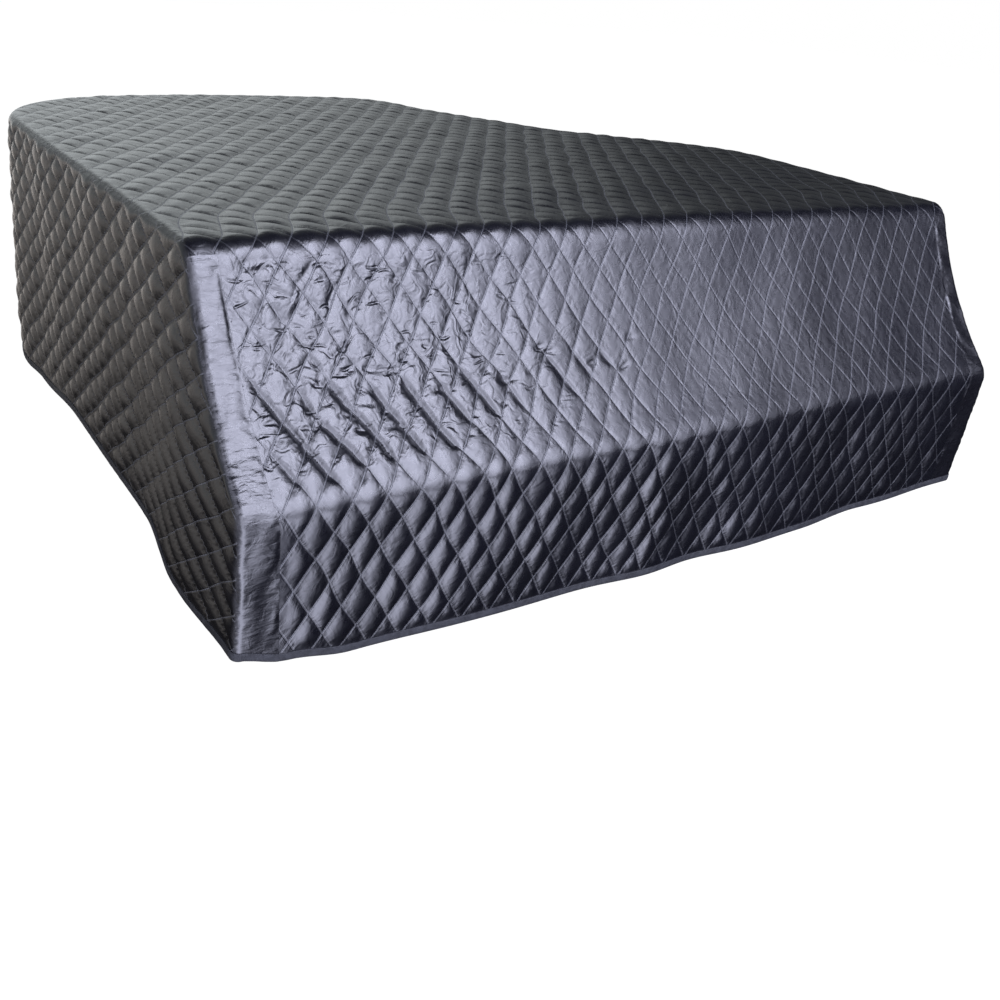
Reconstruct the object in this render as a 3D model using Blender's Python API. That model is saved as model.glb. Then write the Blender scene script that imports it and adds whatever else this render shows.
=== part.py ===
"""Fitted quilted cover for a grand piano, hanging as it does over the closed lid.

Lengths are in metres.  The cover is described with the front edge of the lid as Y = 0 and the
underside of its top as Z = 0: +X points to the treble side, +Y to the tail, +Z up.  The empty
"cover" then moves all of it forward, so that the world's origin lies under the middle of the top.
"""

import math
from collections import Counter, namedtuple

import bmesh
import bpy
from mathutils import Vector, geometry

# ---------------------------------------------------------------------------- driving sizes
WIDTH = 1.53  # over both straight sides
REST_DEPTH = 0.66  # from the lid's front edge back to the middle of the top
QUILT = 0.005  # two layers of satin with wadding between
EDGE_RADIUS = 0.012  # roll of the cloth over the lid's sides and down the front corners
SEAM_ANGLE = 45.0  # how far round that roll the seam to the side band lies
SEAM_GAP = 0.0003
LID_EDGE_RADIUS = 0.030  # softer roll over the lid's front edge
STRIP_TOP = 0.042  # width of the plain strips under the lid's edge and at the hem
STRIP_HEM = 0.064
TAPE = 0.001  # thickness of the binding tape
TAPE_GAP = 0.0005
TAPE_COVERS = 0.012  # how far up each face of the cloth it reaches

# The lid from above, from the front bass corner round the tail to the front treble corner.
# heading: way of travel, degrees from +X.  pull_in, pull_out: the curve's handles before and
# after the point.  spans: faces up to the next point.
Station = namedtuple("Station", "x y heading pull_in pull_out spans")
OUTLINE = [
    Station(-0.765, 0.028, 90, 0.00, 0.30, 8),  # front bass corner
    Station(-0.776, 1.010, 90, 0.30, 0.13, 6),  # the bass side begins to turn
    Station(-0.674, 1.305, 52, 0.13, 0.09, 4),  # round shoulder of the tail
    Station(-0.400, 1.455, 16, 0.13, 0.18, 7),
    Station(0.150, 1.490, -4, 0.18, 0.03, 3),  # end of the flat tail
    Station(0.232, 1.448, -52, 0.04, 0.04, 2),  # tail corner
    Station(0.276, 1.330, -80, 0.05, 0.07, 3),
    Station(0.400, 1.060, -61, 0.10, 0.09, 3),  # hollow of the bent side
    Station(0.570, 0.845, -37, 0.09, 0.10, 3),
    Station(0.793, 0.590, -80, 0.13, 0.12, 3),  # treble shoulder
    Station(0.765, 0.028, -90, 0.25, 0.00, 0),  # front treble corner
]
SIDE_SPANS = 14  # spans down each side of the lid; those left between them make its tail

# How the front falls, seen from the side: the length of each stretch, and the direction of the
# cloth, in degrees below level, where the stretch begins and ends.
Stretch = namedtuple("Stretch", "name length start end rows")
OVER_EDGE = Stretch("over the lid's edge", math.radians(70) * LID_EDGE_RADIUS, 0, 70, 2)
SLOPE = Stretch("slack slope to the key slip", 0.315, 70, 46, 4)
KEY_SLIP = Stretch("round the key slip", 0.018, 46, 94, 2)
HANG = Stretch("free hang", 0, 95, 96, 3)  # as long as the hem's height asks
Slack = namedtuple("Slack", "at more")
SLOPE_SLACK = [  # at: metres across the front; more: what it adds to the slope's length
    Slack(-0.765, 0.018),
    Slack(-0.200, 0.014),
    Slack(0.765, 0.000),
]
FRONT_ROWS = OVER_EDGE.rows + SLOPE.rows + KEY_SLIP.rows + HANG.rows

# Height of the hem, along the front and round the side band.
Hem = namedtuple("Hem", "at z")
FRONT_HEM = [  # at: metres across the front
    Hem(-0.765, -0.513),
    Hem(-0.690, -0.532),
    Hem(-0.590, -0.548),
    Hem(-0.100, -0.553),
    Hem(0.330, -0.552),
    Hem(0.480, -0.538),
    Hem(0.765, -0.529),
]
SIDE_HEM = [  # at: share of the way round
    Hem(0.000, -0.513),
    Hem(0.038, -0.516),
    Hem(0.060, -0.480),
    Hem(0.157, -0.473),
    Hem(0.225, -0.496),
    Hem(0.265, -0.508),
    Hem(0.310, -0.502),
    Hem(0.500, -0.500),
    Hem(0.640, -0.512),
    Hem(0.800, -0.498),
    Hem(1.000, -0.529),
]

# Soft bellies of the side band, at the share of the way round and as far out as they reach.
Belly = namedtuple("Belly", "at out")
SIDE_BELLIES = [
    Belly(0.00, 0.000),
    Belly(0.03, 0.010),
    Belly(0.07, 0.000),
    Belly(0.11, 0.002),
    Belly(0.22, 0.001),
    Belly(0.30, 0.012),
    Belly(0.38, 0.004),
    Belly(0.46, 0.010),
    Belly(0.55, 0.003),
    Belly(0.64, 0.009),
    Belly(0.72, 0.002),
    Belly(0.80, 0.008),
    Belly(0.90, 0.003),
    Belly(1.00, 0.000),
]
FRONT_FLUTES = 5  # shallow upright flutes in the free hang of the front
FLUTE_DEPTH = 0.004
TOP_SWELL = 0.0025  # low swells of the cloth on the lid
CORNER_FADE = 0.36  # the front corners lean forward, and the band is upright this far back

Finish = namedtuple("Finish", "colour roughness")
QUILTED_SATIN = Finish((0.035, 0.036, 0.05), 0.42)
PLAIN_SATIN = Finish((0.04, 0.04, 0.055), 0.45)
GREY_TAPE = Finish((0.22, 0.22, 0.25), 0.6)

HALF = WIDTH / 2
FLAT_HALF = HALF - EDGE_RADIUS  # half the width between the rolls at both sides
UP = Vector((0, 0, 1))

Point = namedtuple("Point", "place out")  # place on the outer face, direction away from it


# ---------------------------------------------------------------------------- small helpers
def between(rows, at, column):
    """A table's value at a place between two of its rows, eased from one to the next."""
    for before, after in zip(rows, rows[1:]):
        if at <= after.at:
            share = max(0.0, at - before.at) / (after.at - before.at)
            share = share * share * (3 - 2 * share)
            return getattr(before, column) * (1 - share) + getattr(after, column) * share
    return getattr(rows[-1], column)


def heading(degrees):
    return Vector((math.cos(math.radians(degrees)), math.sin(math.radians(degrees)), 0))


def shifted(point, move):
    return Point(point.place + move, point.out)


def roll(point, side, degrees):
    """The point that far round the roll from the edge of a panel towards one side."""
    turn = math.radians(degrees)
    out = point.out * math.cos(turn) + side * math.sin(turn)
    return Point(point.place + (out - point.out) * EDGE_RADIUS, out)


# ---------------------------------------------------------------------------- the cover's shape
def outline():
    """(place, direction outwards, share of the way) of each column round the side band."""
    places = []
    for here, there in zip(OUTLINE, OUTLINE[1:]):
        start, end = Vector((here.x, here.y, 0)), Vector((there.x, there.y, 0))
        leaving = start + heading(here.heading) * here.pull_out
        arriving = end - heading(there.heading) * there.pull_in
        curve = geometry.interpolate_bezier(start, leaving, arriving, end, here.spans + 1)
        places += [place.copy() for place in curve[bool(places) :]]
    gone = [0.0]
    for before, after in zip(places, places[1:]):
        gone.append(gone[-1] + (after - before).length)
    columns = []
    for index, place in enumerate(places):
        before, after = places[max(index - 1, 0)], places[min(index + 1, len(places) - 1)]
        along = (after - before).normalized()
        columns.append((place, Vector((-along.y, along.x, 0)), gone[index] / gone[-1]))
    columns[0] = (places[0], Vector((-1, 0, 0)), 0.0)
    columns[-1] = (places[-1], Vector((1, 0, 0)), 1.0)
    return columns


def fall(across):
    """The points down the front at one place across it, from the flat of the lid to the hem."""
    y, z = OUTLINE[0].y, QUILT
    points = [Point(Vector((across, y, z)), UP)]
    for stretch in (OVER_EDGE, SLOPE, KEY_SLIP, HANG):
        for row in range(stretch.rows):
            sweep = stretch.end - stretch.start
            middle = math.radians(stretch.start + sweep * (row + 0.5) / stretch.rows)
            last = math.radians(stretch.start + sweep * (row + 1) / stretch.rows)
            if stretch is HANG:
                drop = (z - between(FRONT_HEM, across, "z")) / (HANG.rows - row)
                step = drop / math.sin(middle)
            else:
                more = between(SLOPE_SLACK, across, "more") * (stretch is SLOPE)
                step = (stretch.length + more) / stretch.rows
            y -= math.cos(middle) * step
            z -= math.sin(middle) * step
            flute = Vector((0, flute_depth(across) * (row + 1) / HANG.rows, 0))
            out = Vector((0, -math.sin(last), math.cos(last)))
            points.append(Point(Vector((across, y, z)) + flute * (stretch is HANG), out))
    return points


def flute_depth(across):
    """How far back the hem lies at one place across the front: nothing at the corners."""
    wave = math.sin(math.tau * FRONT_FLUTES * (across / WIDTH + 0.03 * math.sin(9 * across)))
    return FLUTE_DEPTH * wave * math.cos(math.pi * across / WIDTH)


def strip_edge(row):
    """Distance from the middle to the seam between the quilted front and a plain strip."""
    share = max(0, row - OVER_EDGE.rows) / (FRONT_ROWS - OVER_EDGE.rows)
    return HALF - (STRIP_TOP * (1 - share) + STRIP_HEM * share)


def front_grid(columns):
    """Rows of points over the whole front; the outermost columns bound the plain strips."""
    grid = []
    for row in range(FRONT_ROWS + 1):
        inner, steps = strip_edge(row), columns - 3
        across = [inner * (2 * step / steps - 1) for step in range(steps + 1)]
        across = [-FLAT_HALF] + across + [FLAT_HALF]
        grid.append([fall(x)[row] for x in across])
    return grid


def lid_grid(edge, front_row):
    """Rows of points over the lid, from its front to its tail, between its four edges."""
    bass, treble = edge[: SIDE_SPANS + 1], edge[: -SIDE_SPANS - 2 : -1]
    tail = edge[SIDE_SPANS : len(edge) - SIDE_SPANS]
    grid = []
    for row in range(SIDE_SPANS + 1):
        v = row / SIDE_SPANS
        line = []
        for column, start in enumerate(front_row):
            u = (start.place.x + FLAT_HALF) / (2 * FLAT_HALF)
            ruled = bass[row].place.lerp(treble[row].place, u)
            drawn = start.place.lerp(tail[column].place, v)
            twice = start.place.lerp(bass[-1].place.lerp(treble[-1].place, u), v)
            place = ruled + drawn - twice
            inside = math.sin(math.pi * u) * math.sin(math.pi * v)
            wave = math.sin(7 * place.x + 2) * math.cos(6 * place.y + 1)
            line.append(Point(place + UP * (TOP_SWELL * inside * wave), UP))
        grid.append([bass[row]] + line[1:-1] + [treble[row]])
    return [front_row] + grid[1:-1] + [tail]


def band_grid(columns, top, bass, treble):
    """Rows of points round the side band, from its top edge down, between its two ends."""
    slip = OVER_EDGE.rows + SLOPE.rows + KEY_SLIP.rows
    grid = []
    for row, (first, last) in enumerate(zip(bass, treble)):
        hang = max(0, row - slip) / HANG.rows
        line = []
        for place, outward, share in columns:
            hem = between(SIDE_HEM, share, "z") - SIDE_HEM[0].z * (1 - share)
            hem -= SIDE_HEM[-1].z * share
            z = first.place.z * (1 - share) + last.place.z * share + hem * hang
            end = first if share < 0.5 else last
            lean = max(0.0, 1 - (place.y - OUTLINE[0].y) / CORNER_FADE)
            deep = (bass[0].place.z - z) / (bass[0].place.z - bass[-1].place.z)
            belly = between(SIDE_BELLIES, share, "out") * math.sin(2.2 * deep)
            forward = Vector((0, (end.place.y - OUTLINE[0].y) * lean, z))
            line.append(Point(place + forward + outward * belly, outward))
        grid.append([first] + line[1:-1] + [last])
    return [top] + grid[1:]


def rolled(chain, first, last):
    """A patch over the roll along a panel's edge, between two angles of its turn."""
    turns = (first, (first + last) / 2, last)
    return [[roll(point, side, turn) if turn else point for turn in turns] for point, side in chain]


def ways_down(grid):
    """(point, way down) pairs along the hem of a grid."""
    low_row, high_row = grid[-1], grid[-2]
    ways = [(low.place - high.place).normalized() for low, high in zip(low_row, high_row)]
    return list(zip(low_row, ways))


def turned(corner, side, *angles):
    """(point, way down) pairs at some angles of the roll round a corner of the hem."""
    point, way = corner
    return [(roll(point, side, angle), way) for angle in angles]


# ---------------------------------------------------------------------------- mesh building
def sheet(name, *patches):
    """Closed cloth over patches of points, which are joined wherever their points coincide."""
    mesh = bmesh.new()
    corners, edges = {}, Counter()

    def corner(point, depth):
        at = point.place.to_tuple(), depth
        if at not in corners:
            corners[at] = mesh.verts.new(point.place - point.out * depth)
        return corners[at]

    for patch in patches:
        for row, below in zip(patch, patch[1:]):
            for ring in zip(row, row[1:], below[1:], below):
                mesh.faces.new([corner(point, 0) for point in ring])
                mesh.faces.new([corner(point, QUILT) for point in reversed(ring)])
                at = [point.place.to_tuple() for point in ring]
                edges.update(frozenset(pair) for pair in zip(at, at[1:] + at[:1]))
    for edge, uses in edges.items():
        if uses == 1:
            a, b = sorted(edge)
            for ring in (((a, 0), (b, 0), (b, QUILT)), ((a, 0), (b, QUILT), (a, QUILT))):
                mesh.faces.new([corners[at] for at in ring])
    return placed(name, mesh)


def binding(name, hem):
    """Tape folded over a hem: a narrow channel swept along its (point, way down) pairs."""
    near, far = TAPE_GAP, TAPE_GAP + TAPE
    section = [  # down past the hem, out from the cloth's outer face
        (-TAPE_COVERS, near),
        (-TAPE_COVERS, far),
        (far, far),
        (far, -QUILT - far),
        (-TAPE_COVERS, -QUILT - far),
        (-TAPE_COVERS, -QUILT - near),
        (near, -QUILT - near),
        (near, near),
    ]
    mesh = bmesh.new()
    rings = []
    for point, down in hem:
        at = [point.place + down * low + point.out * out for low, out in section]
        rings.append([mesh.verts.new(place) for place in at])
    for ring, following in zip(rings, rings[1:]):
        for a, b, c, d in zip(ring, ring[1:] + ring[:1], following[1:] + following[:1], following):
            mesh.faces.new([a, b, c, d])
    mesh.faces.new(rings[0])
    mesh.faces.new(rings[-1])
    return placed(name, mesh)


def placed(name, mesh):
    bmesh.ops.recalc_face_normals(mesh, faces=mesh.faces)
    data = bpy.data.meshes.new(name)
    mesh.to_mesh(data)
    mesh.free()
    data.shade_smooth()
    data.set_sharp_from_angle(angle=math.radians(50))
    item = bpy.data.objects.new(name, data)
    bpy.context.scene.collection.objects.link(item)
    return item


def cloth(name, finish):
    material = bpy.data.materials.new(name)
    material.use_nodes = True
    shader = material.node_tree.nodes["Principled BSDF"]
    shader.inputs["Base Color"].default_value = (*finish.colour, 1)
    shader.inputs["Roughness"].default_value = finish.roughness
    shader.inputs["Metallic"].default_value = 0
    return material


# ---------------------------------------------------------------------------- the pieces
def build():
    for item in list(bpy.data.objects):
        bpy.data.objects.remove(item)

    columns = outline()
    edge = [Point(place - side * EDGE_RADIUS + UP * QUILT, UP) for place, side, _ in columns]
    tail_spans = len(columns) - 1 - 2 * SIDE_SPANS
    front = front_grid(tail_spans + 1)
    front[0] = [edge[0]] + front[0][1:-1] + [edge[-1]]
    lid = lid_grid(edge, front[0])

    # The edge of the panels, up the front bass corner, round the lid and down to the treble hem.
    sides = [side for _, side, _ in columns]
    bass = [(line[0], sides[0]) for line in front]
    treble = [(line[-1], sides[-1]) for line in front]
    round_lid = list(zip(edge, sides))
    top_rows = OVER_EDGE.rows + 1
    innermost = EDGE_RADIUS - QUILT - TAPE_GAP - TAPE
    half_gap = math.degrees(SEAM_GAP / innermost) / 2
    before_seam, after_seam = SEAM_ANGLE - half_gap, SEAM_ANGLE + half_gap

    # The quilted panel over the lid and down the front, between the plain strips.
    chain = bass[1:top_rows][::-1] + round_lid + treble[1:top_rows]
    quilted = [line[1:-1] for line in front[OVER_EDGE.rows :]]
    skirt = rolled(chain, 0, before_seam)
    top = sheet("top_and_front", lid, front[:top_rows], quilted, skirt)

    # A plain strip at each end of the front, from under the lid's edge to the hem.
    strips = []
    for name, end, inner, way in (
        ("bass_strip", bass, 1, -1),
        ("treble_strip", treble, -2, 1),
    ):
        seam = [shifted(line[inner], Vector((way * SEAM_GAP, 0, 0))) for line in front]
        outer = rolled(end, 0, before_seam)
        rows = [[point] + line for point, line in zip(seam, outer)][OVER_EDGE.rows :]
        ahead = [below.place - here.place for here, below in zip(rows[0], rows[1])]
        rows[0] = [shifted(p, step.normalized() * SEAM_GAP) for p, step in zip(rows[0], ahead)]
        strips.append(sheet(name, rows))

    # One band round both sides and the tail.
    ends = [[roll(point, side, 90) for point, side in end] for end in (bass, treble)]
    band = band_grid(columns, [roll(point, side, 90) for point, side in round_lid], *ends)
    chain = bass[:0:-1] + round_lid + treble[1:]
    side = sheet("side_band", band, rolled(chain, after_seam, 90))

    # Tape over both hems, up to the seams at the corners.
    hem, round_hem = ways_down(front), ways_down(band)
    corners = ((hem[0], sides[0]), (hem[-1], sides[-1]))
    start, finish = [turned(*corner, before_seam, before_seam / 2) for corner in corners]
    front_tape = binding("front_binding", start + hem + finish[::-1])
    start, finish = [turned(*corner, after_seam, (after_seam + 90) / 2) for corner in corners]
    side_tape = binding("side_binding", start + round_hem + finish[::-1])

    cover = bpy.data.objects.new("cover", None)
    bpy.context.scene.collection.objects.link(cover)
    cover.location = (0, -REST_DEPTH, 0)
    for finish, pieces in (
        (QUILTED_SATIN, (top, side)),
        (PLAIN_SATIN, strips),
        (GREY_TAPE, (front_tape, side_tape)),
    ):
        for piece in pieces:
            piece.data.materials.append(cloth(piece.name, finish))
            piece.parent = cover


build()
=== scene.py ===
# %% [markdown]
# # A quilted cover for a grand piano
#
# The real thing is one big fitted cover of dark satin.  Satin, wadding and lining are stitched
# together in diamonds.  One cloth covers the lid and falls down the front, a second one runs
# round both sides and the tail, a plain strip fills each front corner, and a grey tape binds
# the hems.  The cells below load the measured model as a frame, build each cloth as a fine
# sheet on the same surface, and then give it its finish.

# %% Load the frame
import math
from collections import namedtuple

import bpy
import numpy as np
from mathutils import Euler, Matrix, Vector
from mathutils.kdtree import KDTree


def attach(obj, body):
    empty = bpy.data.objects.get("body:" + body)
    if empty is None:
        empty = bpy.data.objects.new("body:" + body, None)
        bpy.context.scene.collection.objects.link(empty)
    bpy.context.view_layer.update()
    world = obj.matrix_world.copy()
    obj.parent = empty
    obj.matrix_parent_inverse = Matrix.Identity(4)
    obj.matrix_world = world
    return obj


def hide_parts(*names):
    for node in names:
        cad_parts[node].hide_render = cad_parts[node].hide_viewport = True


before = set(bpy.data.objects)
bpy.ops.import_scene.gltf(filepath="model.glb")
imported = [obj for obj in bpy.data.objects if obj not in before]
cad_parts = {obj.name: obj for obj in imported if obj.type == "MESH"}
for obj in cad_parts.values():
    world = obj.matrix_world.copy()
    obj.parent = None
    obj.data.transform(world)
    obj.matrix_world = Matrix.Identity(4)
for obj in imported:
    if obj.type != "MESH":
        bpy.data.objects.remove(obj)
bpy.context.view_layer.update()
print("nodes:", ", ".join(sorted(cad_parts)))

# %% [markdown]
# ## Sizes
#
# The sheets must lie where the solid model is, so they repeat its driving sizes.  Cloth has its
# own two directions, and every panel is drawn flat in them first: across and along in metres.
# Only afterwards is it laid on its surface.  That keeps the diamonds at one size all over, as
# they are on a cloth that was quilted before it was cut.

# %% Driving sizes
HALF = 1.53 / 2  # half the cover's width
REST_DEPTH = 0.66  # the frame's origin lies this far behind the lid's front edge
QUILT = 0.005  # thickness of the quilt
EDGE_RADIUS = 0.012
LID_EDGE_RADIUS = 0.030
FLAT_HALF = HALF - EDGE_RADIUS
SEAM_TURN = math.radians(42)  # the seam to the side band lies this far round the edge's roll
STRIP_TOP, STRIP_HEM = 0.042, 0.064
CORNER_FADE = 0.36  # the band's front ends lean forward over this length
FLUTES, FLUTE_DEPTH = 5, 0.004  # soft waves of the hanging front

Diamond = namedtuple("Diamond", "across along start")  # start: where two stitch lines cross
FRONT_DIAMOND = Diamond(0.0502, 0.0812, (0.040, -0.011))
SIDE_DIAMOND = Diamond(0.080, 0.052, (0.012, -0.005))


def named(kind, *values):
    """A table whose columns have the names of kind."""
    return [kind(*row) for row in values]


Station = namedtuple("Station", "x y heading pull_in pull_out")
OUTLINE = named(
    Station,
    (-0.765, 0.028, 90, 0.00, 0.30),  # front bass corner
    (-0.776, 1.010, 90, 0.30, 0.13),
    (-0.674, 1.305, 52, 0.13, 0.09),  # round shoulder of the tail
    (-0.400, 1.455, 16, 0.13, 0.18),
    (0.150, 1.490, -4, 0.18, 0.03),
    (0.232, 1.448, -52, 0.04, 0.04),  # tail corner
    (0.276, 1.330, -80, 0.05, 0.07),
    (0.400, 1.060, -61, 0.10, 0.09),  # hollow of the bent side
    (0.570, 0.845, -37, 0.09, 0.10),
    (0.793, 0.590, -80, 0.13, 0.12),  # treble shoulder
    (0.765, 0.028, -90, 0.25, 0.00),  # front treble corner
)
Knot = namedtuple("Knot", "at value")
SLOPE_SLACK = named(Knot, (-0.765, 0.018), (-0.2, 0.014), (0.765, 0.0))
FRONT_HEM = named(
    Knot,
    (-0.765, -0.513), (-0.690, -0.532), (-0.590, -0.548), (-0.100, -0.553),
    (0.330, -0.552), (0.480, -0.538), (0.765, -0.529),
)
SIDE_HEM = named(
    Knot,
    (0.000, -0.513), (0.038, -0.516), (0.060, -0.480), (0.157, -0.473),
    (0.225, -0.496), (0.265, -0.508), (0.310, -0.502), (0.500, -0.500),
    (0.640, -0.512), (0.800, -0.498), (1.000, -0.529),
)
SIDE_BELLIES = named(
    Knot,
    (0.00, 0.000), (0.03, 0.010), (0.07, 0.000), (0.11, 0.002), (0.22, 0.001),
    (0.30, 0.012), (0.38, 0.004), (0.46, 0.010), (0.55, 0.003), (0.64, 0.009),
    (0.72, 0.002), (0.80, 0.008), (0.90, 0.003), (1.00, 0.000),
)


def smooth(share):
    share = np.clip(share, 0.0, 1.0)
    return share * share * (3 - 2 * share)


def table(knots, at):
    """Values of a table of knots, eased from one to the next."""
    places = np.array([knot.at for knot in knots])
    values = np.array([knot.value for knot in knots])
    row = np.clip(np.searchsorted(places, at, side="right") - 1, 0, len(knots) - 2)
    share = smooth((at - places[row]) / (places[row + 1] - places[row]))
    return values[row] * (1 - share) + values[row + 1] * share


print("front hem at the middle:", round(float(table(FRONT_HEM, 0.0)), 4))

# %% [markdown]
# ## The lid's outline
#
# Seen from above, the lid is a chain of smooth curves.  A cubic curve between two stations needs
# only their places, headings and two handle lengths, so the table above is all there is to draw.
# `outline` gives the place and the outward direction at any distance along the chain.  Past both
# ends it runs straight on towards the keyboard, where the side band reaches in front of the lid.

# %% The lid's outline
def headed(degrees):
    return np.array([math.cos(math.radians(degrees)), math.sin(math.radians(degrees))])


t = np.linspace(0, 1, 60, endpoint=False)[:, None]
chain = []
for here, there in zip(OUTLINE, OUTLINE[1:]):
    a, d = np.array([here.x, here.y]), np.array([there.x, there.y])
    b, c = a + headed(here.heading) * here.pull_out, d - headed(there.heading) * there.pull_in
    chain.append((1 - t) ** 3 * a + 3 * (1 - t) ** 2 * t * b + 3 * (1 - t) * t**2 * c + t**3 * d)
chain = np.vstack(chain + [[[OUTLINE[-1].x, OUTLINE[-1].y]]])
gone = np.append(0, np.cumsum(np.linalg.norm(np.diff(chain, axis=0), axis=1)))
AROUND = gone[-1]
ways = np.gradient(chain, gone, axis=0)
ways[0], ways[-1] = (0, 1), (0, -1)


def outline(at):
    """(x, y, outward x, outward y) at distances along the lid's edge from the front bass corner."""
    on = np.clip(at, 0, AROUND)
    way = np.stack([np.interp(on, gone, ways[:, axis]) for axis in (0, 1)], -1)
    way /= np.linalg.norm(way, axis=-1, keepdims=True)
    x, y = (np.interp(on, gone, chain[:, axis]) for axis in (0, 1))
    return x, y + np.minimum(at, 0) - np.maximum(at - AROUND, 0), -way[..., 1], way[..., 0]


FRONT_Y = OUTLINE[0].y
print("way round the lid:", round(AROUND, 3), "m")

# %% [markdown]
# ## How the front falls
#
# The front is one cloth that leaves the flat lid, rolls over its edge, slopes out to the key slip
# and then hangs.  Along the cloth only its steepness changes, so its profile is a table of
# steepness against distance, added up in small steps.  The slope is a little longer on the bass
# side, where the cloth lies slack.

# %% The fall of the front
ACROSS = np.linspace(-HALF, HALF, 103)
DOWN_STEP = 0.002
DOWN = np.arange(0, 0.68, DOWN_STEP)
SLOPE_LENGTH, BEND = 0.315, 0.018  # cloth on the slope, and in the bend at its foot
over_edge = math.radians(70) * LID_EDGE_RADIUS
fall_y, fall_z, fall_turn = (np.empty((len(ACROSS), len(DOWN))) for _ in range(3))
for column, x in enumerate(ACROSS):
    slip = over_edge + SLOPE_LENGTH + float(table(SLOPE_SLACK, x))
    steep = np.interp(DOWN, [0, over_edge, slip, slip + BEND, 0.68], [0, 70, 46, 94.5, 96])
    padded_steep = np.pad(steep, 10, mode="edge")
    steep = np.radians(np.convolve(padded_steep, np.ones(21) / 21, mode="valid"))
    steep[DOWN < 0.004] = 0
    middle = (steep[1:] + steep[:-1]) / 2
    fall_y[column] = FRONT_Y - np.append(0, np.cumsum(np.cos(middle) * DOWN_STEP))
    fall_z[column] = QUILT - np.append(0, np.cumsum(np.sin(middle) * DOWN_STEP))
    fall_turn[column] = steep
hems = zip(table(FRONT_HEM, ACROSS), fall_z)
HEM_DOWN = np.array([np.interp(-hem, -z, DOWN) for hem, z in hems])
KEY_SLIP_DOWN = over_edge + SLOPE_LENGTH + BEND
wave = np.sin(math.tau * FLUTES * (ACROSS / (2 * HALF) + 0.03 * np.sin(9 * ACROSS)))
flute = FLUTE_DEPTH * wave * np.cos(math.pi * ACROSS / (2 * HALF))
hang_share = np.clip((DOWN - KEY_SLIP_DOWN) / (HEM_DOWN[:, None] - KEY_SLIP_DOWN), 0, 1)
fall_y += flute[:, None] * hang_share


def sample(grid, x, down):
    """Values of a grid over ACROSS and DOWN, blended between its four nearest entries."""
    column = np.clip((x + HALF) / (ACROSS[1] - ACROSS[0]), 0, len(ACROSS) - 1.001)
    row = np.clip(down / DOWN_STEP, 0, len(DOWN) - 1.001)
    i, j = column.astype(int), row.astype(int)
    u, v = column - i, row - j
    near = grid[i, j] * (1 - v) + grid[i, j + 1] * v
    return near * (1 - u) + (grid[i + 1, j] * (1 - v) + grid[i + 1, j + 1] * v) * u


print("front drop along the cloth:", HEM_DOWN.min().round(3), "to", HEM_DOWN.max().round(3), "m")

# %% [markdown]
# ## A lattice cut to a border
#
# A quilted cloth could be one plane with a picture of quilting on it, but its pillows would then
# vanish at the silhouette.  Here the mesh itself follows the stitching: its cells are a tenth of a
# diamond each way, so every stitch line runs exactly along cell diagonals and stays crisp.  The
# lattice is cut to the panel's border by keeping the cells inside it and drawing their outermost
# points onto it.

# %% Cutting to a border
CELLS = 10  # across one diamond
Border = namedtuple("Border", "flat edge up side away rolls pinch")
# flat: the border drawn flat.  edge, up, side: where the cloth's edge lies in space, the way it
# faces, and the way it rolls.  away: outwards, drawn flat.  rolls: 1 where the cloth rolls over an
# edge to a seam.  pinch: how far from its rim the cloth stays flat.


def run(flat, edge, up, side=(1, 0, 0), away=(0, 0), rolls=0, pinch=0):
    """One stretch of a border.  A value that stays the same along it is given once."""
    columns = zip((edge, up, side, away, rolls, pinch), ((3,), (3,), (3,), (2,), (), ()))
    spread = (np.broadcast_to(np.asarray(c, float), (len(flat), *size)) for c, size in columns)
    return Border(flat, *spread)


def joined(*runs):
    return Border(*(np.concatenate(column) for column in zip(*runs)))


def nearest(points, line):
    """For each point the nearest place on a closed line: (segment, share of it)."""
    step, to = np.roll(line, -1, axis=0) - line, points[:, None] - line
    share = np.clip((to * step).sum(2) / np.maximum((step**2).sum(1), 1e-12), 0, 1)
    segment = np.linalg.norm(to - share[..., None] * step, axis=2).argmin(1)
    return segment, share[np.arange(len(points)), segment]


def between(values, segment, share):
    """Values at shares of the segments of a closed line."""
    share = share.reshape(-1, *[1] * (values.ndim - 1))
    return values[segment] * (1 - share) + np.roll(values, -1, axis=0)[segment] * share


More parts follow.
